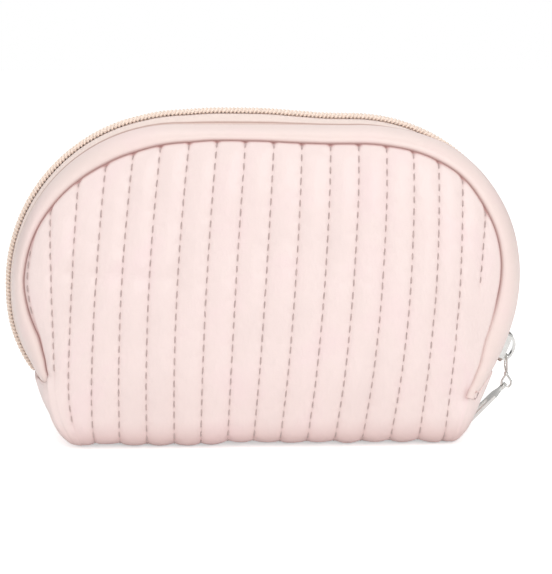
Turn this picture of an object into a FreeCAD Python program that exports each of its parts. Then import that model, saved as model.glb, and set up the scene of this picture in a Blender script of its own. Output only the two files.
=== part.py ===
"""Half-moon quilted makeup bag, in millimetres.

+X is the bag's width, +Y runs from the front panel to the rear panel, +Z is up.
The origin is the middle of the flat underside. The zip runs round the arch in the
plane Y = 0: a straight run over the top, and an arc of one radius at each side.
The rest state is the bag standing upright with the zip closed, its slider at the
right-hand end, and the pull hanging from it with its tip on the standing surface.
"""
import FreeCAD, Part
import math
import os

V = FreeCAD.Vector

# ---------------------------------------------------------------- driving sizes
ARC_R = 66.0            # radius of the arch's two side arcs, at the gusset's outer face
ARC_X = 33.5            # the arcs' centres stand this far each side of the middle
ARC_Z = 59.5            # and this far above the underside
END_DEG = -31.5         # angle on the arc where the zip ends and the end tab begins
SEAM_Y = 24.0           # the panel seams' distance from the middle plane
SEAM_GAP = 0.3          # between the base and the panels that lean away from it
SEAM_DROP = 6.5         # how far the gusset rolls inwards between its crest and the seam
FOOT_X, FOOT_R = 71.0, 8.5   # half length of the flat underside, and its end curve
PVC = 1.2               # quilted outer skin and gusset skin
WADDING = 2.45          # padding sheet behind the quilted skin
LINING = 0.5
PANEL_BULGE = 8.5       # how far each padded panel stands out of its seam
FACING_Y = 12.5          # the gusset strip's folded edge beside the zip
TAPE_OUT = 13.8         # the zip tape's outer edge, under the strip
TAPE_T = 0.6
COIL_W, COIL_H = 2.85, 2.4
QUILT_PITCH = 11.2
QUILT_LINES = 17
THREAD = 0.5
HINGE_Y, HINGE_Z = 27.0, 1.0  # the panels lean about these lines along X

# slider, as angles about the right-hand arc's centre (its length follows the arc)
SL_DEG = -23.0          # slider's middle at rest
SL_HALF = 5.0           # half its length, in degrees of arc
SL_TOP = (1.45, 2.35)   # top plate, between these heights over the gusset's outer face
SL_LOW = (-3.15, -2.35)
SL_W = 4.9              # half width over the side rims
RIM_IN = 4.05
DIAMOND_W = 0.8
BRIDGE_W = 1.4
# pull
LINK_R = 0.45           # link wire radius
LINK_LEN = 8.0          # from the bail's axis to the neck
LINK_W = 2.55           # half width of the bail
DROP_R = 1.95           # teardrop's round end, at the wire's centre
PLATE_DIR = 225.0       # direction of the pull plate in the XZ plane, in degrees
PLATE_LEN = 24.6        # from the teardrop's round centre to the plate's tip
PLATE_W, PLATE_T = 3.6, 1.2

OUT = "parts"
os.makedirs(OUT, exist_ok=True)


def save(name, shape):
    solids = [s for s in shape.Solids]
    assert solids, name
    for s in solids:
        assert s.isValid() and s.Volume > 0, (name, s.Volume)
    out = solids[0] if len(solids) == 1 else Part.makeCompound(solids)
    out.exportStep(os.path.join(OUT, name + ".step"))
    print(f"{name:26s} solids {len(solids):3d} volume {sum(s.Volume for s in solids):10.2f}")


# ---------------------------------------------------------------- helpers
def crest(y):
    """Height of the gusset's outer face over its crest, at a distance y from the middle plane."""
    s = max(0.0, (abs(y) - FACING_Y) / (SEAM_Y - FACING_Y))
    return -SEAM_DROP * s ** 1.9


def offset_curve(ys, down):
    """(y, n) points of the crest curve moved inwards by down, square to the curve."""
    pts = []
    for y in ys:
        d = (crest(y + 0.01) - crest(y - 0.01)) / 0.02
        k = math.hypot(1, d)
        pts.append((y + down * d / k, crest(y) - down / k))
    return pts


def section_between(y0, y1, top, bottom, steps=9):
    """Closed outline in (y, n): the crest curve from y0 to y1 between two depths under it."""
    ys = [y0 + (y1 - y0) * i / (steps - 1) for i in range(steps)]
    return [("spline", offset_curve(ys, top)), ("spline", offset_curve(ys, bottom)[::-1])]


def section_box(y0, y1, n0, n1):
    return [("line", [(y0, n0), (y1, n0), (y1, n1), (y0, n1)])]


def face_at(section, place):
    """place maps (y, n) to a point; the outline's runs are joined by straight edges."""
    edges, last, first = [], None, None
    for kind, pts in section:
        p = [place(y, n) for y, n in pts]
        if last is not None and last.distanceToPoint(p[0]) > 1e-7:
            edges.append(Part.LineSegment(last, p[0]).toShape())
        if kind == "spline":
            c = Part.BSplineCurve()
            c.interpolate(p)
            edges.append(c.toShape())
        else:
            for a, b in zip(p, p[1:]):
                edges.append(Part.LineSegment(a, b).toShape())
        if first is None:
            first = p[0]
        last = p[-1]
    if last.distanceToPoint(first) > 1e-7:
        edges.append(Part.LineSegment(last, first).toShape())
    return Part.Face(Part.Wire(Part.__sortEdges__(edges)))


def on_right(deg):
    c, s = math.cos(math.radians(deg)), math.sin(math.radians(deg))
    return lambda y, n: V(ARC_X + (ARC_R + n) * c, y, ARC_Z + (ARC_R + n) * s)


def right_arc(section, a0, a1):
    return face_at(section, on_right(a0)).revolve(V(ARC_X, 0, ARC_Z), V(0, -1, 0), a1 - a0)


def mirror_x(s):
    return s.mirror(V(0, 0, 0), V(1, 0, 0))


def mirror_y(s):
    return s.mirror(V(0, 0, 0), V(0, 1, 0))


def arch(section, a0=END_DEG, left=True):
    """The section swept round the whole arch, from the right-hand end to the left-hand one."""
    right = right_arc(section, a0, 90)
    top = face_at(section, lambda y, n: V(ARC_X, y, ARC_Z + ARC_R + n)).extrude(V(-2 * ARC_X, 0, 0))
    other = mirror_x(right_arc(section, END_DEG, 90))
    return right.fuse([top, other]).removeSplitter()


END = (ARC_X + ARC_R * math.cos(math.radians(END_DEG)), ARC_Z + ARC_R * math.sin(math.radians(END_DEG)))
FOOT = (FOOT_X + FOOT_R, FOOT_R)


def outline(y, da, db):
    """The panel's outline at depth y: da in from the arch's crest, db up from the underside."""
    r, b = ARC_R - da, db
    e = (ARC_X + r * math.cos(math.radians(END_DEG)), ARC_Z + r * math.sin(math.radians(END_DEG)))
    f = (FOOT[0] - 0.4 - max(0.0, da - 6.0) * 0.9, FOOT[1] + b * 0.75)
    fr = max(2.0, f[1] - b)
    fx = f[0] - fr
    q = math.sqrt(0.5)

    def p(x, z):
        return V(x, y, z)

    half = [
        Part.Arc(p(fx, b), p(fx + fr * q, b + fr * (1 - q)), p(f[0], f[1])).toShape(),
        Part.LineSegment(p(f[0], f[1]), p(e[0], e[1])).toShape(),
        Part.Arc(p(e[0], e[1]),
                 p(ARC_X + r * math.cos(math.radians(29)), ARC_Z + r * math.sin(math.radians(29))),
                 p(ARC_X, ARC_Z + r)).toShape(),
    ]
    other = [
        Part.Arc(p(-ARC_X, ARC_Z + r),
                 p(-ARC_X - r * math.cos(math.radians(29)), ARC_Z + r * math.sin(math.radians(29))),
                 p(-e[0], e[1])).toShape(),
        Part.LineSegment(p(-e[0], e[1]), p(-f[0], f[1])).toShape(),
        Part.Arc(p(-f[0], f[1]), p(-fx - fr * q, b + fr * (1 - q)), p(-fx, b)).toShape(),
    ]
    return Part.Wire(
        [Part.LineSegment(p(-fx, b), p(fx, b)).toShape()] + half
        + [Part.LineSegment(p(ARC_X, ARC_Z + r), p(-ARC_X, ARC_Z + r)).toShape()] + other
    )


SEAM = -(SEAM_Y + SEAM_GAP)
PILLOW = [  # depth past the seam, inset round the arch, inset over the underside
    (-5.0, 6.5, 0.0), (0.0, 6.5, 0.4), (0.22 * PANEL_BULGE, 7.2, 1.2), (0.52 * PANEL_BULGE, 10.0, 3.6), (0.8 * PANEL_BULGE, 17.0, 8.5),
    (0.95 * PANEL_BULGE, 27.0, 16.0), (PANEL_BULGE, 40.0, 26.0),
]


def pillow(shift):
    """The padded panel's solid body, moved inwards by shift. Layers are the differences of these."""
    wires = [outline(SEAM - d + shift, da, db) for d, da, db in PILLOW]
    return Part.makeLoft(wires, True, True)


def keep_front(shape):
    box = Part.makeBox(260, 60, 160, V(-130, SEAM - 60, HINGE_Z))
    return shape.common(box)


# ---------------------------------------------------------------- the padded panels
skins = [pillow(s) for s in (-THREAD, 0.0, PVC, PVC + WADDING, PVC + WADDING + LINING)]
front_panel = keep_front(skins[1].cut(skins[2]))
front_padding = keep_front(skins[2].cut(skins[3]))
front_lining = keep_front(skins[3].cut(skins[4]))
proud = keep_front(skins[0].cut(skins[1]))
rows = []
for i in range(QUILT_LINES):
    x = (i - (QUILT_LINES - 1) / 2) * QUILT_PITCH
    slab = Part.makeBox(THREAD, 60, 106, V(x - THREAD / 2, SEAM - 1.8 - 60, 8.0))
    for s in proud.common(slab).Solids:
        if s.Volume > 1.0:
            rows.append(s)
front_thread = Part.makeCompound(rows)

# ---------------------------------------------------------------- the gusset and the zip
strip_section = section_between(-SEAM_Y - SEAM_GAP + 0.0, -FACING_Y, 0.0, PVC)
front_strip = arch(strip_section)
front_gusset_lining = arch(section_between(-SEAM_Y + 2.2, -FACING_Y, PVC + TAPE_T + 0.3, PVC + TAPE_T + 0.3 + LINING))
front_binding = arch(section_box(-SEAM_Y + 0.2, -SEAM_Y + 5.4, -10.4, -9.0))
front_tape = arch(section_box(-TAPE_OUT, -0.95, -PVC - 0.2 - TAPE_T, -PVC - 0.2))
COIL_N0 = -PVC - 0.2
coil_section = section_box(-0.06 - COIL_W, -0.06, COIL_N0, COIL_N0 + COIL_H)
SPLIT = SL_DEG + 0.6
coil_main = arch(coil_section, a0=SPLIT)
coil_end = right_arc(section_box(-0.98 - COIL_W, -0.98, COIL_N0, COIL_N0 + COIL_H), END_DEG, SPLIT)
front_coil = coil_main.fuse(coil_end).removeSplitter()

# ---------------------------------------------------------------- the end tabs, from the zip's end to the base
du = V(FOOT[0] - END[0], 0, FOOT[1] - END[1])
run = du.Length
du.normalize()
dn = V(-du.z, 0, du.x)      # outward, square to the tab


def tab_part(section, start=0.4, stop=0.3):
    base = V(END[0], 0, END[1]) + du * start
    return face_at(section, lambda y, n: base + dn * n + V(0, y, 0)).extrude(du * (run - start - stop))


right_tab = tab_part(section_between(-SEAM_Y, SEAM_Y, 0.0, PVC, steps=25))
right_tab_lining = tab_part(section_between(-SEAM_Y + 2.2, SEAM_Y - 2.2, PVC + 0.1, PVC + 0.1 + LINING, steps=25))
seam_bar = Part.makeCylinder(0.35, 2 * 13.0, V(END[0], -13.0, END[1]) + du * 2.2 + dn * 0.36, V(0, 1, 0))


# ---------------------------------------------------------------- the base
def tray(out, inn, half):
    """The base's layer between two depths under its outer face."""
    def shape(d):
        r = FOOT_R - d
        q = math.sqrt(0.5)
        return r, q
    (r1, q), (r2, _) = shape(out), shape(inn)
    y = -half

    def p(x, z):
        return V(x, y, z)

    def loop(r, flip):
        c = [(FOOT_X + r, FOOT_R), (FOOT_X + r * q, FOOT_R - r * q), (FOOT_X, FOOT_R - r)]
        e = [Part.Arc(p(*c[0]), p(*c[1]), p(*c[2])).toShape(),
             Part.LineSegment(p(*c[2]), p(-c[2][0], c[2][1])).toShape(),
             Part.Arc(p(-c[2][0], c[2][1]), p(-c[1][0], c[1][1]), p(-c[0][0], c[0][1])).toShape()]
        return e
    edges = loop(r1, False) + loop(r2, True)
    edges += [Part.LineSegment(p(FOOT_X + r1, FOOT_R), p(FOOT_X + r2, FOOT_R)).toShape(),
              Part.LineSegment(p(-FOOT_X - r1, FOOT_R), p(-FOOT_X - r2, FOOT_R)).toShape()]
    return Part.Face(Part.Wire(Part.__sortEdges__(edges))).extrude(V(0, 2 * half, 0))


base_panel = tray(0.0, PVC, SEAM_Y)
base_padding = tray(PVC, PVC + WADDING, SEAM_Y - 0.6)
base_lining = tray(PVC + WADDING, PVC + WADDING + LINING, SEAM_Y - 0.6)

# ---------------------------------------------------------------- the slider, on the right-hand arc
a0, a1 = SL_DEG - SL_HALF, SL_DEG + SL_HALF
top_plate = right_arc(section_box(-SL_W, SL_W, *SL_TOP), a0, a1)
low_plate = right_arc(section_box(-SL_W, SL_W, *SL_LOW), a0, a1)
rims = []
for s in (-1, 1):
    ys = sorted((s * RIM_IN, s * SL_W))
    rims.append(right_arc(section_box(ys[0], ys[1], -1.05, SL_TOP[0] + 0.01), a0, a1))
    rims.append(right_arc(section_box(ys[0], ys[1], SL_LOW[1] - 0.01, -2.25), a0, a1))
diamond = right_arc(section_box(-DIAMOND_W, DIAMOND_W, SL_LOW[1] - 0.01, SL_TOP[0] + 0.01), a0 + 0.3, a0 + 2.4)
slider_body = top_plate.fuse([low_plate, diamond] + rims).removeSplitter()
# the nose end is cut to a wedge and the plates' corners are rounded
on = on_right(SL_DEG)
radial = on(0, 1) - on(0, 0)
along = V(-radial.z, 0, radial.x)     # towards the slider's tail, up the arc
mid = on(0, 0)
corner = []
for s in (-1, 1):
    for t in (-1, 1):
        at = mid + along * (t * (ARC_R * math.radians(SL_HALF))) + V(0, s * SL_W, 0)
        w = 1.3 if t > 0 else 2.0
        tri = [at + along * (t * 0.6) + V(0, s * 0.6, 0), at + along * (t * 0.6) - V(0, s * w, 0), at - along * (t * w) + V(0, s * 0.6, 0)]
        face = Part.Face(Part.makePolygon([p - radial * 6 for p in tri + tri[:1]]))
        corner.append(face.extrude(radial * 12))
slider_body = slider_body.cut(Part.makeCompound(corner))
if len(slider_body.Solids) > 1:
    slider_body = sorted(slider_body.Solids, key=lambda s: -s.Volume)[0]


def arched_strip(half_w, heights, width_t):
    """A strip bent along the arc: (degrees from the slider's middle, height) points of its lower face."""
    low = [on_right(SL_DEG + a)(0, h) for a, h in heights]
    high = []
    for i, (a, h) in enumerate(heights):
        p0, p1 = low[max(0, i - 1)], low[min(len(low) - 1, i + 1)]
        t = (p1 - p0).normalize()
        n = V(t.z, 0, -t.x)
        if n.dot(on_right(SL_DEG + a)(0, h + 1) - low[i]) < 0:
            n = n * -1
        high.append(low[i] + n * width_t)
    c1, c2 = Part.BSplineCurve(), Part.BSplineCurve()
    c1.interpolate(low)
    c2.interpolate(high)
    w = Part.Wire(Part.__sortEdges__([c1.toShape(), c2.toShape(), Part.LineSegment(low[0], high[0]).toShape(), Part.LineSegment(low[-1], high[-1]).toShape()]))
    return Part.Face(w).extrude(V(0, 2 * half_w, 0)).translate(V(0, -half_w, 0))


# the cap stands on the top plate on two feet and arches over the pull's bail
cap_line = [(-3.9, 2.55), (-3.6, 3.6), (-2.4, 4.75), (-0.6, 5.15), (1.2, 4.9), (2.7, 4.05), (3.5, 3.1), (3.8, 2.55)]
slider_cap = arched_strip(BRIDGE_W, cap_line, 0.85)
feet = []
for a in (-4.35, 3.75):
    feet.append(right_arc(section_box(-BRIDGE_W, BRIDGE_W, SL_TOP[1], 3.2), SL_DEG + a, SL_DEG + a + 0.6 + 0.25))
slider_cap = slider_cap.fuse(feet).removeSplitter()
# the lock spring lies on the top plate between the cap's feet
lock_spring = arched_strip(0.6, [(-0.4, 2.45), (0.6, 2.62), (1.8, 2.62), (2.9, 2.5)], 0.22)

# ---------------------------------------------------------------- the pull
BAIL = on_right(SL_DEG - 2.1)(0, 3.75)     # the bail's axis, under the cap, near its lower foot
neck = BAIL + V(0.25, 0, -LINK_LEN)


def tube(points, closed=False, corner=None, r=LINK_R):
    """A round wire along straight runs with rounded corners."""
    pts = [V(*p) if isinstance(p, tuple) else p for p in points]
    n = len(pts)
    edges, last = [], None
    idx = range(n) if closed else range(1, n - 1)
    cuts = {}
    for i in idx:
        a, b, c = pts[i - 1], pts[i], pts[(i + 1) % n]
        u, w = (a - b).normalize(), (c - b).normalize()
        turn = math.pi - math.acos(max(-1, min(1, u.dot(w))))
        d = corner[i] if isinstance(corner, dict) else corner
        d = min(d, 0.49 * (a - b).Length, 0.49 * (c - b).Length)
        p, q = b + u * d, b + w * d
        m = (u + w)
        m.normalize()
        rad = d / math.tan(turn / 2)
        centre = b + m * math.hypot(rad, d)
        midp = centre - m * rad
        cuts[i] = (p, midp, q)
    if closed:
        order = list(range(n))
        for k, i in enumerate(order):
            p, m, q = cuts[i]
            edges.append(Part.Arc(p, m, q).toShape())
            nxt = cuts[order[(k + 1) % n]][0]
            if q.distanceToPoint(nxt) > 1e-6:
                edges.append(Part.LineSegment(q, nxt).toShape())
    else:
        start = pts[0]
        for i in idx:
            p, m, q = cuts[i]
            edges.append(Part.LineSegment(start, p).toShape())
            edges.append(Part.Arc(p, m, q).toShape())
            start = q
        edges.append(Part.LineSegment(start, pts[-1]).toShape())
    wire = Part.Wire(Part.__sortEdges__(edges))
    e0 = wire.OrderedEdges[0]
    at = e0.valueAt(e0.FirstParameter)
    t = e0.tangentAt(e0.FirstParameter)
    prof = Part.Wire(Part.makeCircle(r, at, t))
    return wire.makePipeShell([prof], True, False)


dirn = (neck - BAIL).normalize()
side = V(0, 1, 0)
bail_pts = [neck, neck - dirn * 2.6 + side * LINK_W, BAIL + side * LINK_W, BAIL - side * LINK_W, neck - dirn * 2.6 - side * LINK_W]
bail = tube([V(p) for p in bail_pts], closed=True, corner={0: 0.9, 1: 1.2, 2: 1.0, 3: 1.0, 4: 1.2})
drop_c = neck + dirn * (DROP_R * 1.95)
# teardrop: two straight sides tangent to the round end, meeting at the neck
dist = (drop_c - neck).Length
half = math.acos(DROP_R / dist)            # angle at the round centre between the axis and a tangent point
out = V(-dirn.z, 0, dirn.x)                # in the XZ plane, square to the drop's axis
tl = drop_c - dirn * (DROP_R * math.cos(half)) + out * (DROP_R * math.sin(half))
tr = drop_c - dirn * (DROP_R * math.cos(half)) - out * (DROP_R * math.sin(half))
bottom = drop_c + dirn * DROP_R
edges = [Part.LineSegment(neck, tl).toShape(), Part.Arc(tl, bottom, tr).toShape(), Part.LineSegment(tr, neck).toShape()]
w = Part.Wire(Part.__sortEdges__(edges[:3]))
open_wire = Part.Wire([edges[0], edges[1], edges[2]])
e0 = open_wire.OrderedEdges[0]
prof = Part.Wire(Part.makeCircle(LINK_R, neck, (tl - neck).normalize()))
drop = open_wire.makePipeShell([prof], True, False, 2)
knot = Part.makeSphere(0.95, neck)
pull_link = bail.fuse([drop, knot]).removeSplitter()
if len(pull_link.Solids) != 1:
    pull_link = bail.multiFuse([drop, knot])

pd = V(math.cos(math.radians(PLATE_DIR)), 0, math.sin(math.radians(PLATE_DIR)))   # along the plate
pn = V(-pd.z, 0, pd.x)                                                          # square to its face


def plate_face(points_or_wires):
    return points_or_wires


def pp(s, y):
    """A point on the plate's middle plane: s along it from the teardrop's round centre, y across it."""
    return drop_c + pd * s + V(0, y, 0)


EYE = 1.75              # eye's outer radius
EYE_HOLE = 1.15
s_eye = DROP_R
half_w = PLATE_W
s0, s1 = s_eye + 3.4, PLATE_LEN
arcw = [
    Part.Arc(pp(s_eye + 0.9, EYE * 0.86), pp(s_eye - EYE, 0), pp(s_eye + 0.9, -EYE * 0.86)).toShape(),
]
outline_pts = [pp(s_eye + 0.9, -EYE * 0.86), pp(s_eye + 2.2, -1.7), pp(s0 + 1.6, -half_w), pp(s1 - 2.6, -half_w)]
left_side = [Part.LineSegment(a, b).toShape() for a, b in zip(outline_pts, outline_pts[1:])]
tip = [Part.Arc(pp(s1 - 2.6, -half_w), pp(s1, 0), pp(s1 - 2.6, half_w)).toShape()]
right_pts = [pp(s1 - 2.6, half_w), pp(s0 + 1.6, half_w), pp(s_eye + 2.2, 1.7), pp(s_eye + 0.9, EYE * 0.86)]
right_side = [Part.LineSegment(a, b).toShape() for a, b in zip(right_pts, right_pts[1:])]
plate_wire = Part.Wire(Part.__sortEdges__(arcw + left_side + tip + right_side))
plate = Part.Face(plate_wire).extrude(pn * PLATE_T).translate(pn * (-PLATE_T / 2))
hole = Part.makeCylinder(EYE_HOLE, 6, pp(s_eye, 0) - pn * 3, pn)
# window near the middle of the plate
ws0, ws1, wr = 11.2, 16.2, 1.35
win = Part.Wire(Part.__sortEdges__([
    Part.LineSegment(pp(ws0, wr), pp(ws1, wr)).toShape(), Part.Arc(pp(ws1, wr), pp(ws1 + wr, 0), pp(ws1, -wr)).toShape(),
    Part.LineSegment(pp(ws1, -wr), pp(ws0, -wr)).toShape(), Part.Arc(pp(ws0, -wr), pp(ws0 - wr, 0), pp(ws0, wr)).toShape()]))
window = Part.Face(win).extrude(pn * 6).translate(pn * -3)
pull_plate = plate.cut(hole).cut(window)
try:
    long_edges = [e for e in pull_plate.Edges if e.Length > 6.0]
    rounded = pull_plate.makeFillet(0.3, long_edges)
    if rounded.isValid() and rounded.Volume > 0:
        pull_plate = rounded
except Exception as err:
    print("plate edges left square:", err)

# ---------------------------------------------------------------- write the nodes
save("front_panel", front_panel)
save("front_padding", front_padding)
save("front_lining", front_lining)
save("front_quilting_thread", front_thread)
save("front_gusset_strip", front_strip)
save("front_gusset_lining", front_gusset_lining)
save("front_seam_binding", front_binding)
save("front_zipper_tape", front_tape)
save("front_zipper_coil", front_coil)
save("rear_panel", mirror_y(front_panel))
save("rear_padding", mirror_y(front_padding))
save("rear_lining", mirror_y(front_lining))
save("rear_quilting_thread", mirror_y(front_thread))
save("rear_gusset_strip", mirror_y(front_strip))
save("rear_gusset_lining", mirror_y(front_gusset_lining))
save("rear_seam_binding", mirror_y(front_binding))
save("rear_zipper_tape", mirror_y(front_tape))
save("rear_zipper_coil", mirror_y(front_coil))
save("base_panel", base_panel)
save("base_padding", base_padding)
save("base_lining", base_lining)
save("right_end_tab", right_tab)
save("left_end_tab", mirror_x(right_tab))
save("right_end_tab_lining", right_tab_lining)
save("left_end_tab_lining", mirror_x(right_tab_lining))
save("end_seam_thread", Part.makeCompound([seam_bar, mirror_x(seam_bar)]))
save("slider_body", slider_body)
save("slider_cap", slider_cap)
save("slider_lock_spring", lock_spring)
save("pull_link", pull_link)
save("pull_plate", pull_plate)

print("zip end", [round(v, 2) for v in END], "bail", BAIL, "neck", neck, "drop centre", drop_c)
tipz = pp(PLATE_LEN, 0)
print("plate tip", tipz, "arc centre", ARC_X, ARC_Z)
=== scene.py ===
"""Looks of the half-moon quilted makeup bag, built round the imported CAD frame. Lengths inside are millimetres until a mesh is made."""
import math

import bpy
import numpy as np
from mathutils import Matrix, Vector


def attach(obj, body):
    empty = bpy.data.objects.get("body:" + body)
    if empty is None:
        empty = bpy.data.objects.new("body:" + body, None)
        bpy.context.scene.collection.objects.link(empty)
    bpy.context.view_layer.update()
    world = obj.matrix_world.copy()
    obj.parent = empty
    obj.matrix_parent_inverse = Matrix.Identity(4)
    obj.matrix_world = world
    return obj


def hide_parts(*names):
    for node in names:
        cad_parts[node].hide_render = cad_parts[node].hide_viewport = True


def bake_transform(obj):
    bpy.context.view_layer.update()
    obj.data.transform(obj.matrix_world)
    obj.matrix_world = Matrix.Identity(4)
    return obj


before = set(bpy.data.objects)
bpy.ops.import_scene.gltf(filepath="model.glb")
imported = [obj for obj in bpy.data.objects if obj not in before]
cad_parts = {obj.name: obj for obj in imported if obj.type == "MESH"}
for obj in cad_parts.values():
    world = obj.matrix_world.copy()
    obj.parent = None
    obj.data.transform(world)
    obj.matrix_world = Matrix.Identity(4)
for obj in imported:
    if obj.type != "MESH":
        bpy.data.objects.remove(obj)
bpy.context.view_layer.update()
RNG = np.random.default_rng(11)
MM = 0.001

# the arch that the zip follows, as in the CAD: two arcs joined by a straight top
AX, AZ, AR = 33.5, 59.5, 66.0
END = -31.5
FOLD_Y, COIL_Y = 12.6, 2.9


def rad(d):
    return d * math.pi / 180.0


def spline1(xs, ys):
    """Smooth interpolation through points (monotone cubic), with flat ends."""
    xs, ys = np.array(xs, float), np.array(ys, float)
    h = np.diff(xs)
    d = np.diff(ys) / h
    m = np.zeros_like(xs)
    for i in range(1, len(xs) - 1):
        if d[i - 1] * d[i] > 0:
            w1, w2 = 2 * h[i] + h[i - 1], h[i] + 2 * h[i - 1]
            m[i] = (w1 + w2) / (w1 / d[i - 1] + w2 / d[i])
    m[0], m[-1] = d[0], d[-1]

    def f(x):
        x = np.asarray(x, float)
        xc = np.clip(x, xs[0], xs[-1])
        i = np.clip(np.searchsorted(xs, xc) - 1, 0, len(xs) - 2)
        t = (xc - xs[i]) / h[i]
        return (
            ys[i] * (1 + 2 * t) * (1 - t) ** 2 + m[i] * h[i] * t * (1 - t) ** 2
            + ys[i + 1] * t * t * (3 - 2 * t) + m[i + 1] * h[i] * t * t * (t - 1)
        )

    return f


def smooth(x, a, b):
    t = np.clip((np.asarray(x, float) - a) / (b - a), 0, 1)
    return t * t * (3 - 2 * t)


# station U runs round the arch: the right-hand arc's angle, 60 units over the top, then the left-hand arc
def arch(U):
    """(points, outward normals) in XZ for stations U."""
    U = np.asarray(U, float)
    p, n = np.zeros(U.shape + (2,)), np.zeros(U.shape + (2,))
    ur = np.clip(U, END, 90)
    ul = np.clip(U - 60, 90, 180 - END)
    right, left = U < 90, U > 150
    cr, sr = np.cos(np.radians(ur)), np.sin(np.radians(ur))
    cl, sl = np.cos(np.radians(ul)), np.sin(np.radians(ul))
    p[..., 0] = np.where(right, AX + AR * cr, np.where(left, -AX + AR * cl, AX - (U - 90) / 60 * 2 * AX))
    p[..., 1] = np.where(right, AZ + AR * sr, np.where(left, AZ + AR * sl, AZ + AR))
    n[..., 0] = np.where(right, cr, np.where(left, cl, 0))
    n[..., 1] = np.where(right, sr, np.where(left, sl, 1))
    # past the zip's ends the line runs straight on
    over = np.where(U < END, END - U, 0) + np.where(U > 180 - END + 60, U - (240 - END), 0)
    tx = np.where(U < END, n[..., 1], -n[..., 1])
    tz = np.where(U < END, -n[..., 0], n[..., 0])
    step = over * math.pi / 180 * AR
    p[..., 0] += tx * step
    p[..., 1] += tz * step
    return p, n


UEND = 240 - END  # 271.5


def arch_length(U):
    U = np.asarray(U, float)
    k = math.pi / 180 * AR
    return np.where(U < 90, U * k, np.where(U > 150, 90 * k + 2 * AX + (U - 150) * k, 90 * k + (U - 90) / 60 * 2 * AX))


inset_of = spline1(
    [-42, -32, -19, -5, 7, 12, 23, 34, 47, 57, 67, 78, 89, 98, 108, 122, 136, 146, 156, 166, 178, 190, 203, 221, 233, 244, 253, 257, 265, 272, 279],
    [7.4, 9.4, 12.0, 11.3, 9.4, 8.6, 7.4, 6.8, 6.1, 6.8, 7.8, 8.9, 9.3, 9.3, 9.0, 8.2, 7.9, 8.5, 9.3, 9.9, 9.8, 9.1, 8.2, 7.3, 7.4, 8.6, 9.9, 10.4, 9.4, 7.2, 6.5],
)
lift_of = spline1(
    [-31, -14, -8, 0, 10, 25, 33, 45, 58, 70, 85, 94, 100, 108, 122, 136, 150, 165, 190, 215, 240, 255, 265, 272],
    [0.0, 0.0, 0.0, 0.0, 0.1, 0.26, 0.28, 0.26, 0.1, -0.15, -0.28, -0.24, 0.0, 0.7, 1.8, 2.0, 1.2, 0.6, 0.6, 0.7, 0.9, 1.4, 1.1, 0.5],
)
fold_of = spline1(
    [-42, -31, -20, -5, 10, 25, 40, 55, 66, 80, 92, 110, 136, 160, 190, 215, 235, 255, 272],
    [-1.6, -1.6, -1.7, -1.0, -0.1, 0.6, 0.7, 0.1, -1.3, -2.9, -3.4, -3.2, -3.0, -2.8, -2.6, -2.3, -2.1, -2.0, -2.0],
)


def seam_half(z):
    return 23.0 + 3.2 * (1 - np.clip(np.asarray(z, float) / 118.0, 0, 1))


def seam_xz(U):
    p, n = arch(U)
    return p - n * inset_of(U)[..., None]


SEAM_U = np.linspace(-42.0, 272.0, 1200)
SEAM = seam_xz(SEAM_U)
PR, PL = SEAM[0], SEAM[-1]

# ---------------------------------------------------------------- quilting lines: x = a t^2 + b t + c, t = (z - 65) / 60
LINE = np.array([
    [0.64, -0.22, -80.92], [0.8, 4.0, -73.12], [1.44, 4.58, -64.14], [2.24, 4.16, -54.47], [2.1, 3.85, -44.24], [2.0, 3.85, -33.66],
    [1.21, 3.82, -22.72], [0.6, 3.93, -11.71], [-0.4, 4.12, -0.5], [-1.2, 4.16, 10.62], [-1.7, 4.30, 21.67], [-2.0, 4.27, 32.54],
    [-2.5, 4.11, 43.47], [-2.9, 3.65, 54.2], [-2.3, 3.03, 63.95], [-1.5, 2.6, 73.03], [-1.5, 5.4, 81.03]])
A_L, A_R = 1.39, 18.2
PER = 12


def line_x(a, z):
    """x of the channel coordinate a at height z (a is whole on a stitch line, 2 to 18)."""
    t = (z - 65.0) / 60.0
    xs = LINE[:, 0][:, None] * t[None] ** 2 + LINE[:, 1][:, None] * t[None] + LINE[:, 2][:, None]   # lines x heights
    lo = xs[0] - (3.6 + 0.5 * t - 0.9 * t * t) / 0.61
    hi = xs[-1] + (xs[-1] - xs[-2])
    xs = np.vstack([lo, xs, hi])     # a = 1 .. 19
    i = int(np.clip(math.floor(a), 1, 18))
    f = a - i
    k = i - 1
    p0, p1, p2, p3 = xs[max(k - 1, 0)], xs[k], xs[k + 1], xs[min(k + 2, len(xs) - 1)]
    return 0.5 * (2 * p1 + (p2 - p0) * f + (2 * p0 - 5 * p1 + 4 * p2 - p3) * f * f + (3 * p1 - p0 - 3 * p2 + p3) * f ** 3)


end_right = spline1([0, 2, 5, 8.5, 12, 17, 25, 40], [77.0, 78.4, 79.9, 81.5, 83.3, 86.7, 90.5, 96])
end_left = spline1([0, 3, 6, 11.1, 17.6, 25.5, 40], [76.9, 79.0, 81.0, 84.0, 87.6, 91.6, 96])


def clamp_x(x, z):
    """Near the underside the outer columns crowd in so that the corner has room to turn."""
    k = corner_pull(z)
    return np.where(x < -64, -64 + (x + 64) * k, np.where(x > 66, 66 + (x - 66) * (0.35 + 0.65 * k), x))


corner_pull = spline1([0, 3, 7, 12, 18, 26, 36], [0.50, 0.60, 0.74, 0.86, 0.94, 0.99, 1.0])


top_mask = SEAM[:, 1] > 70
order = np.argsort(SEAM[top_mask][:, 0])
TOPX, TOPZ = SEAM[top_mask][order, 0], SEAM[top_mask][order, 1]
# the seam's widest points split it into upper and lower runs
i_r, i_l = int(np.argmax(SEAM[:, 0])), int(np.argmin(SEAM[:, 0]))
UP = SEAM[i_r:i_l + 1][::-1]
RIGHT_SIDE = SEAM[:600][SEAM[:600, 1].argsort()]
LEFT_SIDE = SEAM[600:][SEAM[600:, 1].argsort()]


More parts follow.
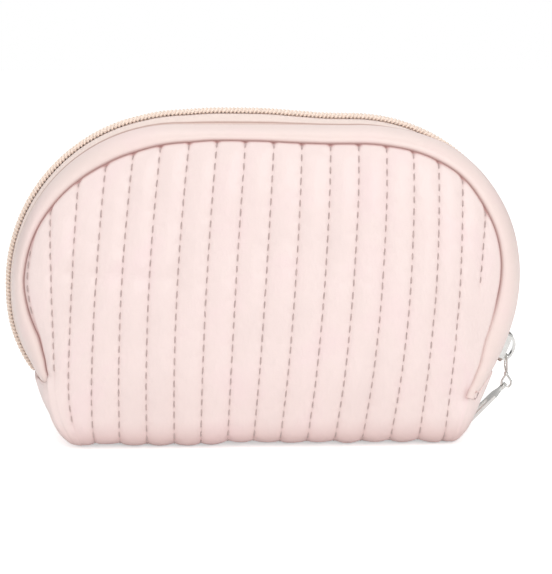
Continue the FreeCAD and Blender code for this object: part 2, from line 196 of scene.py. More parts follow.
def zseam_top(x):
    return np.interp(x, UP[:, 0], UP[:, 1])


def seam_distance(x, z):
    pts = SEAM[::4]
    x, z = np.asarray(x, float), np.asarray(z, float)
    shape = x.shape
    q = np.stack([x.ravel(), z.ravel()], 1)
    out = np.empty(len(q))
    a, b = pts[:-1], pts[1:]
    ab = b - a
    l2 = (ab ** 2).sum(1)
    for s in range(0, len(q), 4000):
        c = q[s:s + 4000]
        t = np.clip(((c[:, None] - a[None]) * ab[None]).sum(2) / l2[None], 0, 1)
        d = c[:, None] - (a[None] + ab[None] * t[..., None])
        out[s:s + 4000] = np.sqrt((d ** 2).sum(2)).min(1)
    return out.reshape(shape)


def pillow(d):
    return 1 - np.exp(-(np.maximum(d, 0) / 4.6) ** 0.85)


def swell(x, d):
    """How the padding rises from the seam: gently at the top and right, more abruptly at the left."""
    d = np.maximum(d, 0)
    gentle = 0.20 * (1 - np.exp(-d / 0.9)) + 0.80 * (1 - np.exp(-(d / 15.0) ** 1.25))
    w = smooth(x, -62, -84)
    return gentle + (pillow(d) - gentle) * w * 0.8


N1, N2, NR, NU = ((150, 32, 12, 34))
ROUND = 6.0
Z0 = 1.25           # the stitch valleys' height over the table on the underside


def fbm(x, y, seed, scale):
    """A smooth repeatable 2-D field in about -1..1, from a few sines."""
    r = np.random.default_rng(seed)
    out = 0
    for k in range(7):
        w = scale * (0.6 + 0.9 * r.random())
        a = r.random() * 2 * math.pi
        out = out + np.sin((x * math.cos(a) + y * math.sin(a)) / w * 2 * math.pi + r.random() * 6.3)
    return out / 3.2


def face_half(x, z, d):
    """Half depth of the bag's padded face at (x, z), before quilting."""
    belly = (6.0 + 1.4 * smooth(z, 100, 40)) * (1 - 0.55 * smooth(z, 34, 6))
    s = seam_half(z) + belly * swell(x, d)
    return s


def strip_point(U, t):
    """Outer surface of the gusset strip at station U, t from 0 at the seam to 1 at the fold: (half depth, height over the arch)."""
    U, t = np.broadcast_arrays(np.asarray(U, float), np.asarray(t, float))
    ins, nf = inset_of(U), fold_of(U)
    ys = seam_half(arch(U)[0][..., 1])
    w = t * math.pi / 2
    bul = 0.58 * (1 - np.exp(-t / 0.05)) * (1 - 0.75 * t)
    y = ys + (FOLD_Y - ys) * (1 - np.cos(w)) ** 0.92 + 0.35 * bul
    n = -ins + (nf + ins) * (np.sin(0.70 * w) / math.sin(0.35 * math.pi)) ** 0.80 + bul - 0.45 * np.exp(-t / 0.035)
    return y, n


STRIP_T = np.concatenate([(np.linspace(0, 1, 15) ** 1.25)[:-1], [0.955, 0.982, 1.0]])


RUN_R, RUN_L = 10.5, 1.8


def run_out(y, run=RUN_R):
    """Station at which the strip stops: square across by the zip, and running on into the corner by the seam."""
    f = np.clip((np.asarray(y, float) - FOLD_Y) / 11.0, 0, 1)
    return END - run * f ** 1.6


def strip_end(right, count, corner):
    """The line that the strip ends on, from the corner tuck over the fold to the middle, as (x, half depth, z)."""
    t = np.linspace(0, 1, 60)
    U = np.full(60, END)
    for _ in range(6):
        yy, nn = strip_point(U if right else 240 - U, t)
        U = run_out(yy, RUN_R if right else RUN_L)
    ym = np.linspace(yy[-1], 0, 14)[1:]
    nm = np.linspace(nn[-1], -0.4 if right else -0.2, 14)[1:]
    yy, nn = np.concatenate([yy, ym]), np.concatenate([nn, nm])
    U = np.concatenate([U, run_out(ym, RUN_R if right else RUN_L)])
    # the tab's edge is turned over the strip by the zip and runs out into it by the seam
    nn = nn + lerp(0.06, 0.45 if right else 1.25, smooth(yy, 19.5, 14.0))
    if not right:
        U = 240 - U
    p, n = arch(U)
    q = np.stack([p[:, 0] + n[:, 0] * nn, yy, p[:, 1] + n[:, 1] * nn], 1)
    q[0] = corner
    l = np.concatenate([[0], np.cumsum(np.linalg.norm(np.diff(q, axis=0), axis=1))])
    s = np.linspace(0, l[-1], count)
    return np.stack([np.interp(s, l, q[:, i]) for i in range(3)], 1)


def lerp(a, b, t):
    return a + (b - a) * t


def shell(side):
    """Grids of the quilted skin for one half. side is not used. Returns points, faces, uv, channel coordinate, distance
    to seam, region.
    """
    cols = [A_L] + [k / PER for k in range(int(math.ceil(A_L * PER)) + 1, int(A_R * PER) + 1)] + [A_R]
    cols = sorted(set(round(c, 5) for c in cols))
    grids = []
    # main columns
    A = np.zeros((N1 + N2 + NR + NU + 1, len(cols), 3))
    knee_z = np.interp(np.array(cols), [A_L, A_R], [PL[1], PR[1]])
    for j, a in enumerate(cols):
        zt = 110.0
        if a in (A_L, A_R):
            pass
        for _ in range(60):
            xx = line_x(a, np.array([zt]))[0]
            zt = 0.5 * zt + 0.5 * zseam_top(xx)
        zk = knee_z[j]
        f = np.linspace(0, 1, N1 + 1)
        f = 0.6 * f + 0.4 * (0.5 - 0.5 * np.cos(math.pi * f))
        z1 = zt + (zk - zt) * f
        z2 = zk + (ROUND + Z0 - zk) * np.linspace(0, 1, N2 + 1)[1:]
        beta = np.linspace(0, math.pi / 2, NR + 1)[1:]
        z3 = Z0 + ROUND - ROUND * np.sin(beta)
        z = np.concatenate([z1, z2, z3])
        A[:N1 + N2 + NR + 1, j, 0] = clamp_x(line_x(a, z), z)
        A[:N1 + N2 + NR + 1, j, 2] = z
    # the outermost columns meet the seam's ends exactly
    for j, P in ((0, PL), (len(cols) - 1, PR)):
        z = A[:N1 + 1, j, 2]
        dx = P[0] - A[N1, j, 0]
        A[:N1 + 1, j, 0] += dx * smooth(z, 60, P[1])
        zz = A[N1 + 1:N1 + N2 + NR + 1, j, 2]
        A[N1 + 1:N1 + N2 + NR + 1, j, 0] += dx * smooth(zz, 3, P[1])
    R = N1 + N2 + NR
    dA = seam_distance(A[:R + 1, :, 0], A[:R + 1, :, 2])
    dA[0, :] = 0
    dA[N1, 0] = dA[N1, -1] = 0
    half = face_half(A[:R + 1, :, 0], A[:R + 1, :, 2], dA)
    beta = np.concatenate([np.zeros(N1 + N2 + 1), np.linspace(0, math.pi / 2, NR + 1)[1:]])
    half = half - (ROUND * (1 - np.cos(beta)))[:, None]
    # a slight flattening above the rounding, as the padding rests on the table
    A[:R + 1, :, 1] = half
    for i in range(1, NU + 1):
        f = i / NU
        A[R + i, :, 0] = A[R, :, 0]
        A[R + i, :, 1] = A[R, :, 1] * (1 - f)
        A[R + i, :, 2] = Z0
    dU = np.full((NU, len(cols)), 60.0)
    D = np.vstack([dA, dU])
    CA = np.tile(np.array(cols)[None], (len(A), 1))
    grids.append(("A", A, CA, D))
    for right in (True, False):
        j = len(cols) - 1 if right else 0
        edge = A[:, j]
        # lens between the last column and the seam's bulge
        K = 14
        B = np.zeros((N1 + 1, K + 1, 3))
        run = RIGHT_SIDE if right else LEFT_SIDE
        zs = edge[:N1 + 1, 2]
        xs = np.interp(zs, run[:, 1], run[:, 0])
        xs[0] = edge[0, 0]
        xs[-1] = edge[N1, 0]
        for k in range(K + 1):
            B[:, k, 0] = edge[:N1 + 1, 0] + (xs - edge[:N1 + 1, 0]) * (k / K)
            B[:, k, 2] = zs
        dB = seam_distance(B[..., 0], B[..., 2])
        dB[:, K] = 0
        B[..., 1] = face_half(B[..., 0], B[..., 2], dB)
        B[:, 0] = edge[:N1 + 1]
        a0, a1 = (A_R, 18.93) if right else (A_L, 0.82)
        CB = np.tile(np.linspace(a0, a1, K + 1)[None], (N1 + 1, 1))
        grids.append(("B", B, CB, dB))
        # the end of the base: round the corner to the middle of the bag's end
        K = 26
        rows = np.arange(N1, R + 1)
        C = np.zeros((len(rows) + NU, K + 1, 3))
        P = PR if right else PL
        ztop = 25.6
        ex = end_right if right else end_left
        sgn = 1 if right else -1
        for i, r in enumerate(rows):
            x0, y0, z0 = edge[r]
            w = np.linspace(0, math.pi / 2, 200)
            # heights rise from the column's row towards the cross seam
            fz = (z0 - Z0) / (P[1] - Z0)
            zend = Z0 + (ztop - Z0) * max(0, fz)
            b = math.asin(min(1, max(0, (Z0 + ROUND - z0) / ROUND))) if z0 < Z0 + ROUND else 0
            xe = ex(max(zend, Z0)) - (ROUND * 0.5) * (1 - math.cos(b))
            m = 2.05
            cx = abs(x0) + (xe - abs(x0)) * np.sin(w) ** (2 / m)
            cy = y0 * np.cos(w) ** (2 / m)
            l = np.concatenate([[0], np.cumsum(np.hypot(np.diff(cx), np.diff(cy)))])
            q = np.linspace(0, l[-1], K + 1)
            fx, fy = np.interp(q, l, cx), np.interp(q, l, cy)
            C[i, :, 0] = sgn * fx
            C[i, :, 1] = fy
            g = smooth(np.linspace(0, 1, K + 1), 0.0, 0.75)
            C[i, :, 2] = z0 + (zend - z0) * g
        tip = strip_end(right, K + 1, edge[N1])
        off = tip - C[0]
        off[0] = 0
        fall = np.linspace(0, 1, len(rows))
        zr = edge[rows, 2]
        wgt = 1 - smooth(P[1] - zr, 0.0, 11.0)
        C[:len(rows)] += off[None] * wgt[:, None, None]
        C[:len(rows), 0] = edge[rows]
        last = C[len(rows) - 1]
        for i in range(1, NU + 1):
            f = i / NU
            C[len(rows) - 1 + i, :, 0] = last[:, 0]
            C[len(rows) - 1 + i, :, 1] = last[:, 1] * (1 - f)
            C[len(rows) - 1 + i, :, 2] = Z0
        C[len(rows):, 0] = edge[R + 1:]
        dC = np.full(C.shape[:2], 60.0)
        dC[:len(rows)] = np.hypot(np.abs(C[:len(rows), :, 0] - P[0]), C[:len(rows), :, 2] - P[1])
        a0, a1 = (A_R, A_R + 0.75) if right else (A_L, A_L - 0.35)
        CC = np.tile((a0 + (a1 - a0) * np.minimum(1, np.arange(K + 1) / 6.0))[None], (C.shape[0], 1))
        grids.append(("C", C, CC, dC))
    # one mesh out of the grids
    P_, UVX, CH, DD, REG, F = [], [], [], [], [], []
    base = 0
    for name, g, ch, dd in grids:
        nr, nc = g.shape[:2]
        step = np.zeros((nr, nc))
        step[1:] = np.sqrt(((g[1:] - g[:-1]) ** 2).sum(2))
        v = np.cumsum(step, 0)
        if name == "C":
            v = v + 100.0
        P_.append(g.reshape(-1, 3)); CH.append(ch.ravel()); DD.append(dd.ravel())
        UVX.append(np.stack([ch * 11.2, v], -1).reshape(-1, 2) if name != "C" else np.stack([A_R * 11.2 + np.cumsum(np.concatenate([np.zeros((nr, 1)), np.sqrt(((g[:, 1:] - g[:, :-1]) ** 2).sum(2))], 1), 1), v], -1).reshape(-1, 2))
        REG.append(np.full(nr * nc, {"A": 0, "B": 1, "C": 2}[name]))
        idx = base + np.arange(nr * nc).reshape(nr, nc)
        q = np.stack([idx[:-1, :-1], idx[1:, :-1], idx[1:, 1:], idx[:-1, 1:]], -1).reshape(-1, 4)
        # faces keep the grid's winding here; build_shell turns them outward
        F.append(q)
        base += nr * nc
    P_, UVX, CH, DD, REG, F = np.vstack(P_), np.vstack(UVX), np.concatenate(CH), np.concatenate(DD), np.concatenate(REG), F
    return P_, UVX, CH, DD, REG, F, grids


def weld(P, faces, tol=1e-3):
    """Merges coincident points. faces is a list of index lists. Returns map, kept indices, faces."""
    key = np.round(P / tol).astype(np.int64)
    _, first, inv = np.unique(key, axis=0, return_index=True, return_inverse=True)
    inv = inv.ravel()
    out = []
    for f in faces:
        g = [inv[i] for i in f]
        h = [g[i] for i in range(len(g)) if g[i] != g[i - 1]]
        if len(set(h)) >= 3:
            out.append(h)
    return inv, first, out


def vertex_normals(P, faces):
    n = np.zeros_like(P)
    quads = np.array([f for f in faces if len(f) == 4])
    tris = np.array([f for f in faces if len(f) == 3])
    for arr in (quads, tris):
        if len(arr) == 0:
            continue
        a, b, c = P[arr[:, 0]], P[arr[:, 1]], P[arr[:, 2]]
        if arr.shape[1] == 4:
            fn = np.cross(P[arr[:, 2]] - a, P[arr[:, 3]] - b)
        else:
            fn = np.cross(b - a, c - a)
        for k in range(arr.shape[1]):
            np.add.at(n, arr[:, k], fn)
    l = np.linalg.norm(n, axis=1, keepdims=True)
    return n / np.maximum(l, 1e-12)


def make_mesh(name, P, faces, uv=None, painted_shade=None, mat=None, smooth_shade=True):
    """P in mm. uv and tint are per vertex."""
    me = bpy.data.meshes.new(name)
    me.from_pydata((np.asarray(P) * MM).tolist(), [], [list(map(int, f)) for f in faces])
    loops = np.zeros(len(me.loops), np.int32)
    me.loops.foreach_get("vertex_index", loops)
    if uv is not None:
        layer = me.uv_layers.new(name="UVMap")
        layer.data.foreach_set("uv", np.asarray(uv)[loops].astype(np.float32).ravel())
    if painted_shade is not None:
        at = me.attributes.new("painted_shade", "FLOAT", "POINT")
        at.data.foreach_set("value", np.asarray(painted_shade, np.float32))
    me.polygons.foreach_set("use_smooth", [smooth_shade] * len(me.polygons))
    me.update()
    ob = bpy.data.objects.new(name, me)
    bpy.context.scene.collection.objects.link(ob)
    if mat:
        me.materials.append(mat)
    return ob


def closed(P, faces, N, t, uv=None, painted_shade=None):
    """Gives an open skin a thickness t (mm, number or per vertex) inwards along N, with its rim closed."""
    n = len(P)
    t = np.broadcast_to(np.asarray(t, float), (n,))
    Q = P - N * t[:, None]
    edges = {}
    for f in faces:
        for i in range(len(f)):
            a, b = f[i - 1], f[i]
            k = (a, b) if a < b else (b, a)
            edges.setdefault(k, []).append((a, b))
    rim = [v[0] for v in edges.values() if len(v) == 1]
    F = [list(f) for f in faces] + [[n + i for i in reversed(f)] for f in faces] + [[b, a, n + a, n + b] for a, b in rim]
    P2 = np.vstack([P, Q])
    uv2 = None if uv is None else np.vstack([uv, uv])
    painted_shade2 = None if painted_shade is None else np.concatenate([painted_shade, painted_shade])
    return P2, F, uv2, painted_shade2


def to_body(ob):
    """Bakes a piece's transform into its mesh."""
    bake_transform(ob)


# ---------------------------------------------------------------- materials
def new_material(name):
    m = bpy.data.materials.new(name)
    m.use_nodes = True
    nt = m.node_tree
    nt.nodes.clear()
    out = nt.nodes.new("ShaderNodeOutputMaterial")
    b = nt.nodes.new("ShaderNodeBsdfPrincipled")
    nt.links.new(b.outputs[0], out.inputs[0])
    return m, nt, b


def node(nt, kind, **kw):
    n = nt.nodes.new(kind)
    for k, v in kw.items():
        if k in n.inputs:
            n.inputs[k].default_value = v
        else:
            setattr(n, k, v)
    return n


def uv_node(nt, scale=(1, 1, 1), rot=0.0, offset=(0, 0, 0)):
    u = nt.nodes.new("ShaderNodeUVMap")
    u.uv_map = "UVMap"
    mp = nt.nodes.new("ShaderNodeMapping")
    mp.inputs["Scale"].default_value = scale
    mp.inputs["Rotation"].default_value = (0, 0, rot)
    mp.inputs["Location"].default_value = offset
    nt.links.new(u.outputs[0], mp.inputs[0])
    return mp


def ramp(nt, src, stops):
    r = nt.nodes.new("ShaderNodeValToRGB")
    while len(r.color_ramp.elements) < len(stops):
        r.color_ramp.elements.new(0.5)
    for e, (p, c) in zip(r.color_ramp.elements, stops):
        e.position = p
        e.color = c if len(c) == 4 else (*c, 1)
    nt.links.new(src, r.inputs[0])
    return r


def srgb(r, g, b):
    def f(c):
        c /= 255
        return c / 12.92 if c <= 0.04045 else ((c + 0.055) / 1.055) ** 2.4
    return (f(r), f(g), f(b))


def mix(nt, a, b, fac, mode="MIX"):
    m = nt.nodes.new("ShaderNodeMix")
    m.data_type = "RGBA"
    m.blend_type = mode
    for sock, val in ((m.inputs[0], fac), (m.inputs[6], a), (m.inputs[7], b)):
        if isinstance(val, (int, float)):
            sock.default_value = val
        elif isinstance(val, tuple):
            sock.default_value = (*val, 1) if len(val) == 3 else val
        else:
            nt.links.new(val, sock)
    return m.outputs[2]


def math_node(nt, op, a, b=0.0):
    m = nt.nodes.new("ShaderNodeMath")
    m.operation = op
    for sock, val in ((m.inputs[0], a), (m.inputs[1], b)):
        if isinstance(val, (int, float)):
            sock.default_value = val
        else:
            nt.links.new(val, sock)
    return m.outputs[0]


def leather(name, base, deep, grain=1.0):
    """Smooth faux leather: a fine pebbled grain, cloudy colour, and painted shade, a deeper tone mixed in from a
    per-vertex attribute where it is tucked or stitched.
    """
    m, nt, b = new_material(name)
    uv = uv_node(nt)
    cloud = node(nt, "ShaderNodeTexNoise", Scale=0.035, Detail=3.0, Roughness=0.55)
    nt.links.new(uv.outputs[0], cloud.inputs["Vector"])
    fine = node(nt, "ShaderNodeTexNoise", Scale=0.9, Detail=2.0)
    nt.links.new(uv.outputs[0], fine.inputs["Vector"])
    c = ramp(nt, cloud.outputs[0], [(0.32, tuple(x * 0.972 for x in base)), (0.5, base), (0.68, (min(1, base[0] * 1.01), base[1] * 0.978, base[2] * 1.004))])
    c2 = mix(nt, c.outputs[0], tuple(x * 0.975 for x in base), math_node(nt, "MULTIPLY", fine.outputs[0], 0.35))
    # painted shade: the deep colour is mixed in by the per-vertex shade attribute, darker in seams, stitch valleys,
    # tucks and towards the bottom
    t = nt.nodes.new("ShaderNodeAttribute")
    t.attribute_name = "painted_shade"
    c3 = mix(nt, c2, deep, t.outputs["Fac"])
    nt.links.new(c3, b.inputs["Base Color"])
    b.inputs["IOR"].default_value = 1.47
    b.inputs["Specular IOR Level"].default_value = 0.5
    b.inputs["Coat Weight"].default_value = 0.10
    b.inputs["Coat Roughness"].default_value = 0.32
    b.inputs["Sheen Weight"].default_value = 0.05
    b.inputs["Sheen Roughness"].default_value = 0.5
    b.inputs["Subsurface Weight"].default_value = 0.0
    rough = ramp(nt, cloud.outputs[0], [(0.3, (0.36,) * 3), (0.7, (0.47,) * 3)])
    nt.links.new(rough.outputs[0], b.inputs["Roughness"])
    pebble = node(nt, "ShaderNodeTexVoronoi", Scale=2.1)
    pebble.feature = "SMOOTH_F1"
    nt.links.new(uv.outputs[0], pebble.inputs["Vector"])
    bump1 = node(nt, "ShaderNodeBump", Strength=0.16 * grain, Distance=0.00012)
    nt.links.new(pebble.outputs["Distance"], bump1.inputs["Height"])
    wob = node(nt, "ShaderNodeTexNoise", Scale=0.22, Detail=4.0, Roughness=0.6)
    nt.links.new(uv.outputs[0], wob.inputs["Vector"])
    bump2 = node(nt, "ShaderNodeBump", Strength=0.35, Distance=0.0004)
    nt.links.new(wob.outputs[0], bump2.inputs["Height"])
    nt.links.new(bump1.outputs[0], bump2.inputs["Normal"])
    nt.links.new(bump2.outputs[0], b.inputs["Normal"])
    return m


def woven(name, base, deep, u=2.4, v=2.4, twill=True, strength=0.6, rough=0.85, sheen=0.25):
    """Woven cloth: yarns across and along, or a herringbone of slanting yarns, in UV millimetres."""
    m, nt, b = new_material(name)
    uv = uv_node(nt)
    sep = nt.nodes.new("ShaderNodeSeparateXYZ")
    nt.links.new(uv.outputs[0], sep.inputs[0])
    along = math_node(nt, "MULTIPLY", sep.outputs[1], v * math.pi)
    across = math_node(nt, "MULTIPLY", sep.outputs[0], u * math.pi)
    if twill:
        zig = math_node(nt, "PINGPONG", math_node(nt, "MULTIPLY", sep.outputs[0], 1.0), 1.1)
        slant = math_node(nt, "ADD", along, math_node(nt, "MULTIPLY", zig, v * math.pi * 0.9))
        h = math_node(nt, "ABSOLUTE", math_node(nt, "SINE", slant))
        h2 = math_node(nt, "ABSOLUTE", math_node(nt, "SINE", across))
        h = math_node(nt, "MULTIPLY", h, math_node(nt, "ADD", math_node(nt, "MULTIPLY", h2, 0.4), 0.6))
    else:
        h = math_node(nt, "MULTIPLY", math_node(nt, "ABSOLUTE", math_node(nt, "SINE", along)), math_node(nt, "ABSOLUTE", math_node(nt, "SINE", across)))
    cloud = node(nt, "ShaderNodeTexNoise", Scale=0.12, Detail=3.0)
    nt.links.new(uv.outputs[0], cloud.inputs["Vector"])
    c = mix(nt, tuple(0.28 * d + 0.72 * q for d, q in zip(deep, base)), base, math_node(nt, "ADD", math_node(nt, "MULTIPLY", h, 0.6), 0.4))
    c = mix(nt, c, tuple(x * 0.93 for x in base), math_node(nt, "MULTIPLY", cloud.outputs[0], 0.4))
    # painted shade: the deep colour is mixed in by the per-vertex shade attribute, on the tape along and under the
    # strip's fold and on the lining by the seam
    t = nt.nodes.new("ShaderNodeAttribute")
    t.attribute_name = "painted_shade"
    c = mix(nt, c, deep, t.outputs["Fac"])
    nt.links.new(c, b.inputs["Base Color"])
    b.inputs["Roughness"].default_value = rough
    b.inputs["Sheen Weight"].default_value = sheen
    bump = node(nt, "ShaderNodeBump", Strength=strength, Distance=0.00018)
    nt.links.new(h, bump.inputs["Height"])
    nt.links.new(bump.outputs[0], b.inputs["Normal"])
    return m


def plastic(name, base, deep, rough=0.38):
    m, nt, b = new_material(name)
    uv = uv_node(nt)
    n = node(nt, "ShaderNodeTexNoise", Scale=0.8, Detail=2.0)
    nt.links.new(uv.outputs[0], n.inputs["Vector"])
    c = mix(nt, base, deep, math_node(nt, "MULTIPLY", n.outputs[0], 0.5))
    nt.links.new(c, b.inputs["Base Color"])
    b.inputs["Roughness"].default_value = rough
    bump = node(nt, "ShaderNodeBump", Strength=0.1, Distance=0.00005)
    nt.links.new(n.outputs[0], bump.inputs["Height"])
    nt.links.new(bump.outputs[0], b.inputs["Normal"])
    return m


def metal(name, base, rough=0.16, brushed=False):
    """Polished plated metal: faint casting ripple, small scratches, a little tarnish in its roughness."""
    m, nt, b = new_material(name)
    tc = nt.nodes.new("ShaderNodeTexCoord")
    n = node(nt, "ShaderNodeTexNoise", Scale=420.0, Detail=4.0, Roughness=0.6)
    nt.links.new(tc.outputs["Object"], n.inputs["Vector"])
    mp = nt.nodes.new("ShaderNodeMapping")
    mp.inputs["Scale"].default_value = (1, 9, 1)
    nt.links.new(tc.outputs["Object"], mp.inputs[0])
    s = node(nt, "ShaderNodeTexNoise", Scale=2600.0 if brushed else 1500.0, Detail=2.0)
    nt.links.new(mp.outputs[0], s.inputs["Vector"])
    c = ramp(nt, n.outputs[0], [(0.35, tuple(x * 0.86 for x in base)), (0.65, base)])
    nt.links.new(c.outputs[0], b.inputs["Base Color"])
    b.inputs["Metallic"].default_value = 1.0
    r = ramp(nt, s.outputs[0], [(0.3, (rough * 0.8,) * 3), (0.75, (rough * 1.6,) * 3)])
    nt.links.new(r.outputs[0], b.inputs["Roughness"])
    bump = node(nt, "ShaderNodeBump", Strength=0.12, Distance=0.00006)
    nt.links.new(n.outputs[0], bump.inputs["Height"])
    nt.links.new(bump.outputs[0], b.inputs["Normal"])
    return m


PINK = srgb(245, 226, 222)
PINK_PAINTED_SHADE = srgb(200, 155, 151)
M_QUILT = leather("quilted_faux_leather", PINK, PINK_PAINTED_SHADE)
M_STRIP = leather("gusset_faux_leather", srgb(245, 225, 219), srgb(166, 120, 115), grain=0.8)
M_TAPE = woven("zip_tape_weave", srgb(255, 236, 227), srgb(188, 146, 134), u=1.3, v=1.5)
M_LINING = woven("lining_weave", srgb(236, 208, 203), srgb(203, 164, 160), u=2.8, v=2.8, twill=False, strength=0.35)
M_BIND = woven("binding_weave", srgb(238, 212, 206), srgb(205, 166, 160), u=1.6, v=1.6, twill=False, strength=0.6)
M_THREAD = woven("stitch_thread", srgb(221, 197, 192), srgb(180, 154, 149), u=2.2, v=3.6, twill=True, strength=0.8, rough=0.7)
M_SEAMTHREAD = woven("seam_thread", srgb(228, 202, 194), srgb(190, 156, 150), u=2.2, v=3.6, twill=True, strength=0.8, rough=0.7)
M_COIL = plastic("nylon_coil", srgb(255, 240, 227), srgb(252, 228, 211))
M_CORD = woven("coil_filler", srgb(253, 241, 232), srgb(244, 222, 211), u=2.2, v=3.0, twill=True, strength=0.5)
M_METAL = metal("polished_metal", (0.88, 0.87, 0.845), rough=0.13)
M_SPRING = metal("spring_metal", (0.62, 0.60, 0.57), rough=0.3, brushed=True)


# ---------------------------------------------------------------- the quilted skin
def stitch_depth(ch):
    f = ch - np.floor(ch)
    return np.minimum(f, 1 - f)


H_PUFF = 0.68


def line_strength(a, z):
    """How firmly stitch line a is drawn in at height z; the outer lines fade out towards the bottom."""
    a, z = np.broadcast_arrays(np.asarray(a, float), np.asarray(z, float))
    out = np.ones(a.shape)
    out = np.where(a <= 1.01, 0.35 * smooth(z, 44, 52) * smooth(z, 82, 74), out)
    out = np.where(np.abs(a - 2) < 0.01, smooth(z, 20, 32), out)
    out = np.where(np.abs(a - 3) < 0.01, smooth(z, 5, 11), out)
    out = np.where(np.abs(a - 18) < 0.01, smooth(z, 54, 64), out)
    out = np.where(a >= 18.99, 0, out)
    return out



def puff(ch, d, v, seed, z):
    f = stitch_depth(ch)
    firm = line_strength(np.round(ch), z)
    f = 0.5 - (0.5 - f) * firm
    s = np.sin(math.pi * f)
    amp = 1 + 0.16 * np.sin(np.floor(ch) * 2.3 + seed) + 0.10 * fbm(ch * 11.2, v, seed + 5, 34)
    crown = 0.72 * s ** 0.9 + 0.28 * s ** 0.4
    q = H_PUFF * (1 + 0.35 * smooth(z, 45, 8)) * amp * crown * (0.12 + 0.88 * (1 - np.exp(-(d / 8.0) ** 1.2)))
    # the needle pulls the valley down at each hole, and lets short folds run off it
    hole = np.cos(v / 4.3 * 2 * math.pi)
    near = np.exp(-(f * 11.2 / 1.3) ** 2)
    q = q - 0.10 * near * (1 + hole)
    q = q + 0.10 * np.exp(-((f * 11.2 - 1.5) / 1.3) ** 2) * np.sin(v / 4.3 * 2 * math.pi * 0.5 + np.floor(ch) * 1.7 + seed)
    # a small gap where each valley runs under the seam
    q = q - 1.1 * np.exp(-(d / 1.2) ** 2) * np.exp(-(f * 11.2 / 0.75) ** 2)
    return q


def build_shell(side):
    P, UV, CH, DD, REG, F, grids = shell(side)
    faces = [list(f) for f in np.vstack(F)]
    # grid C on the left and right and grid B have their own winding: fix each from its own centre
    inv, first, faces = weld(P, faces)
    P, UV, CH, DD, REG = P[first], UV[first], CH[first], DD[first], REG[first]
    body = np.array([0.0, 0.0, 55.0])
    fixed = []
    for f in faces:
        c = P[f].mean(0)
        n = np.cross(P[f[1]] - P[f[0]], P[f[2]] - P[f[0]])
        if len(f) == 4:
            n = n + np.cross(P[f[2]] - P[f[0]], P[f[3]] - P[f[0]])
        out = c - body * np.array([1, 1, 1])
        out[0] *= 0.4
        fixed.append(f if n @ out > 0 else f[::-1])
    faces = fixed
    N = vertex_normals(P, faces)
    return P, UV, CH, DD, REG, faces, N, inv, grids


SHELL, WELD = {}, {}


def settle(G, pinned, frames=14, cap=1.1):
    """Cloth simulation of a grid (rows x columns x 3, mm) that is held along its stitching and blown out by the wadding."""
    nr, nc = G.shape[:2]
    S = 0.01                                   # 10 times life size, where the solver is steady
    me = bpy.data.meshes.new("settling")
    idx = np.arange(nr * nc).reshape(nr, nc)
    q = np.stack([idx[:-1, :-1], idx[1:, :-1], idx[1:, 1:], idx[:-1, 1:]], -1).reshape(-1, 4)
    # outward (+y) winding, so that the pressure acts outwards
    n = np.cross(G[nr // 3 + 1, nc // 2] - G[nr // 3, nc // 2], G[nr // 3, nc // 2 + 1] - G[nr // 3, nc // 2])
    if n[1] < 0:
        q = q[:, ::-1]
    me.from_pydata((G.reshape(-1, 3) * S).tolist(), [], q.tolist())
    ob = bpy.data.objects.new("settling", me)
    sc_ = bpy.context.scene
    sc_.collection.objects.link(ob)
    vg = ob.vertex_groups.new(name="sewn")
    vg.add([int(i) for i in np.where(pinned.ravel())[0]], 1.0, "REPLACE")
    md = ob.modifiers.new("cloth", "CLOTH")
    st_ = md.settings
    st_.quality = 6
    st_.mass = 0.15
    st_.tension_stiffness = 18
    st_.compression_stiffness = 18
    st_.shear_stiffness = 6
    st_.bending_stiffness = 2.5
    st_.tension_damping = st_.compression_damping = 12
    st_.air_damping = 3.0
    st_.vertex_group_mass = "sewn"
    st_.shrink_min = -0.012
    st_.use_pressure = True
    st_.uniform_pressure_force = PRESSURE
    st_.effector_weights.gravity = 0.0
    md.collision_settings.use_collision = False
    md.collision_settings.use_self_collision = False
    md.point_cache.frame_start, md.point_cache.frame_end = 1, frames
    for f in range(1, frames + 1):
        sc_.frame_set(f)
    ev = ob.evaluated_get(bpy.context.evaluated_depsgraph_get())
    co = np.zeros(nr * nc * 3)
    ev.to_mesh().vertices.foreach_get("co", co)
    ev.to_mesh_clear()
    D = co.reshape(nr, nc, 3) / S - G
    sc_.frame_set(1)
    bpy.data.objects.remove(ob)
    bpy.data.meshes.remove(me)
    soft = D.copy()
    for _ in range(7):                         # the wadding evens out all but the broad creases
        soft[1:-1] = 0.25 * soft[:-2] + 0.5 * soft[1:-1] + 0.25 * soft[2:]
    D = 0.62 * soft + 0.16 * D
    l = np.linalg.norm(D, axis=2, keepdims=True)
    print("settled: mean %.3f max %.3f mm" % (l.mean(), l.max()))
    return D * (np.minimum(l, cap) / np.maximum(l, 1e-9))


PRESSURE = 5.0


def spread(D, ri, ci, nr, nc):
    """Values on coarse rows ri and columns ci, spread over all nr x nc grid points."""
    mid = np.stack([[np.interp(np.arange(nr), ri, D[:, j, k]) for j in range(len(ci))] for k in range(3)], -1)   # cols x rows x 3
    out = np.stack([np.stack([np.interp(np.arange(nc), ci, mid[:, i, k]) for i in range(nr)]) for k in range(3)], -1)
    return out


